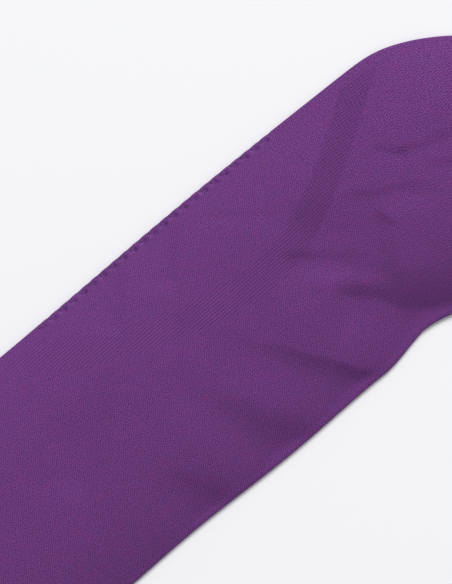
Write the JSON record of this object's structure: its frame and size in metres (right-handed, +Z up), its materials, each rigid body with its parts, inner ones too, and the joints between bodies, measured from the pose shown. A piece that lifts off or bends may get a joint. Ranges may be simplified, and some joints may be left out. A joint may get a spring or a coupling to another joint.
{
  "type": "round sling",
  "caption": "Endless textile round sling, lying open as a flat oval loop: violet sleeve over a core of yarn turns, with a sewn cuff and a blank folding label.",
  "frame": {"origin": "middle of the loop, on the plane that the sling lies on", "axes": "+X along the legs towards one bight, +Y across the loop towards the plain leg, +Z up out of the loop's plane"},
  "size_m": [0.496, 0.13, 0.0071],
  "materials": {
    "sleeve_fabric": "matte, fine violet polyester cloth",
    "sleeve_thread": "dark violet sewing thread",
    "label_fabric": "blue satin-woven label, blank",
    "label_thread": "white sewing thread",
    "core_yarn": "undyed polyester yarn",
    "tie_tape": "cream cloth tape"
  },
  "bodies": {
    "sling": {"sleeve": "sleeve_fabric", "edge_seam": "sleeve_thread", "join_cuff": "sleeve_fabric", "cuff_stitches": "sleeve_thread", "label_tail": "label_fabric", "label_stitches": "label_thread", "inner_tag": "label_fabric", "core_end_splice": "tie_tape", "core_turn_01": "core_yarn", "core_turn_02": "core_yarn", "core_turn_03": "core_yarn", "core_turn_04": "core_yarn", "core_turn_05": "core_yarn", "core_turn_06": "core_yarn", "core_turn_07": "core_yarn", "core_turn_08": "core_yarn", "core_turn_09": "core_yarn", "core_turn_10": "core_yarn", "core_turn_11": "core_yarn", "core_turn_12": "core_yarn", "core_tie_1": "tie_tape", "core_tie_2": "tie_tape", "core_tie_3": "tie_tape", "core_tie_4": "tie_tape"},
    "label": {"label": "label_fabric"}
  },
  "joints": [
    {"name": "label_fold", "type": "hinge", "parent": "sling", "child": "label", "pos_m": [-0.035, -0.0425, 0.007], "axis": [0, -1, 0], "range_deg": [0, 170]}
  ]
}
